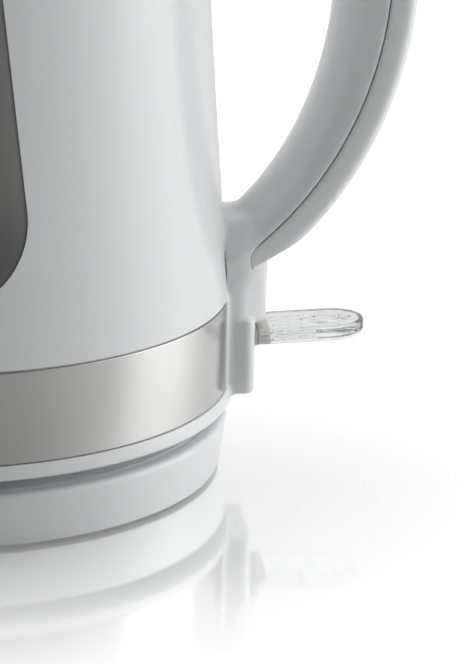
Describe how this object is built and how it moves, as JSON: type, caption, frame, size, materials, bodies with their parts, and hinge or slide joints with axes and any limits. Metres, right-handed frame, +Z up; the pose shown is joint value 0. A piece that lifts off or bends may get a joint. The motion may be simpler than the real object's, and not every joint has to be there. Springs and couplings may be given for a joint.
{
  "type": "electric kettle",
  "caption": "Cordless jug kettle on a round power base, with a hinged lid, loop handle, tinted water windows, steel band and clear switch lever.",
  "frame": {"origin": "centre of the power base's underside, on the surface it stands on", "axes": "+Z up along the jug's axis, +X towards the handle, the spout at -X"},
  "size_m": [0.2172, 0.1592, 0.236],
  "materials": {
    "white_shell": "glossy white moulded plastic",
    "white_base": "satin white moulded plastic",
    "white_handle": "glossy white moulded plastic",
    "lid_white": "glossy white moulded plastic",
    "grey_button": "satin grey moulded plastic",
    "tinted_window": "smoke-tinted clear plastic",
    "clear_lever": "clear polycarbonate",
    "brushed_band": "brushed around the band",
    "heater_steel": "satin stainless steel",
    "fastener_steel": "bright zinc",
    "spreader_aluminium": "as pressed",
    "contact_brass": "plain",
    "dark_plastic": "matt black moulded plastic",
    "ivory_plastic": "matt ivory moulded plastic",
    "foot_rubber": "matt rubber",
    "silicone_seal": "translucent grey silicone",
    "wire_insulation": "glass-sleeved silicone lead",
    "led_lens": "small diffused lens"
  },
  "bodies": {
    "base": {"base_shell": "white_base", "base_plate": "white_base", "foot_ring": "foot_rubber", "base_screws": "fastener_steel", "base_connector": "dark_plastic", "centre_pin": "contact_brass", "base_contact_ring": "contact_brass", "cord_gland": "white_base"},
    "socket": {"connector_socket": "dark_plastic", "socket_contacts": "contact_brass"},
    "lever": {"lever_rocker": "ivory_plastic", "switch_lever": "clear_lever"},
    "bolt": {"latch_bolt": "ivory_plastic"},
    "button": {"release_button": "grey_button"},
    "lid": {"lid_top": "lid_white", "lid_inner": "lid_white", "lid_seal": "silicone_seal", "lid_screws": "fastener_steel"},
    "jug": {"body_shell": "white_shell", "water_window_left": "tinted_window", "water_window_right": "tinted_window", "steel_band": "brushed_band", "bottom_cover": "white_base", "cover_screws": "fastener_steel", "heater_plate": "heater_steel", "plate_seal": "silicone_seal", "heat_spreader": "spreader_aluminium", "heater_element": "heater_steel", "thermostat_control": "ivory_plastic", "bimetal_disc": "fastener_steel", "control_screws": "fastener_steel", "switch_wires": "wire_insulation", "handle_frame": "white_handle", "handle_cover": "white_handle", "switch_housing": "white_handle", "housing_screws": "fastener_steel", "steam_switch": "ivory_plastic", "indicator_led": "led_lens", "steam_tube": "silicone_seal", "lever_pin": "fastener_steel", "latch_guide": "ivory_plastic", "button_spring": "fastener_steel", "lid_seat_ring": "lid_white", "lid_hinge_pin": "fastener_steel", "lid_spring": "fastener_steel", "spout_filter_frame": "lid_white", "filter_mesh": "heater_steel"}
  },
  "joints": [
    {"name": "lift_off", "type": "slide", "parent": "base", "child": "socket", "axis": [0, 0, 1], "range_m": [0, 0.06]},
    {"name": "turn_on_base", "type": "hinge", "parent": "socket", "child": "jug", "pos_m": [0, 0, 0.02], "axis": [0, 0, 1], "continuous": true},
    {"name": "lid_hinge", "type": "hinge", "parent": "jug", "child": "lid", "pos_m": [0.05, 0, 0.2255], "axis": [0, 1, 0], "range_deg": [0, 75]},
    {"name": "lever_hinge", "type": "hinge", "parent": "jug", "child": "lever", "pos_m": [0.0822, 0, 0.034], "axis": [0, 1, 0], "range_deg": [0, 9]},
    {"name": "button_press", "type": "slide", "parent": "jug", "child": "button", "axis": [0, 0, -1], "range_m": [0, 0.0025], "stiffness_N_per_m": 700, "springref_m": -0.001, "deforming": ["button_spring"]},
    {"name": "bolt_draw", "type": "slide", "parent": "jug", "child": "bolt", "axis": [1, 0, 0], "range_m": [0, 0.0025]}
  ],
  "couplings": [
    {"joint": "bolt_draw", "follows": "button_press", "ratio": 1}
  ]
}
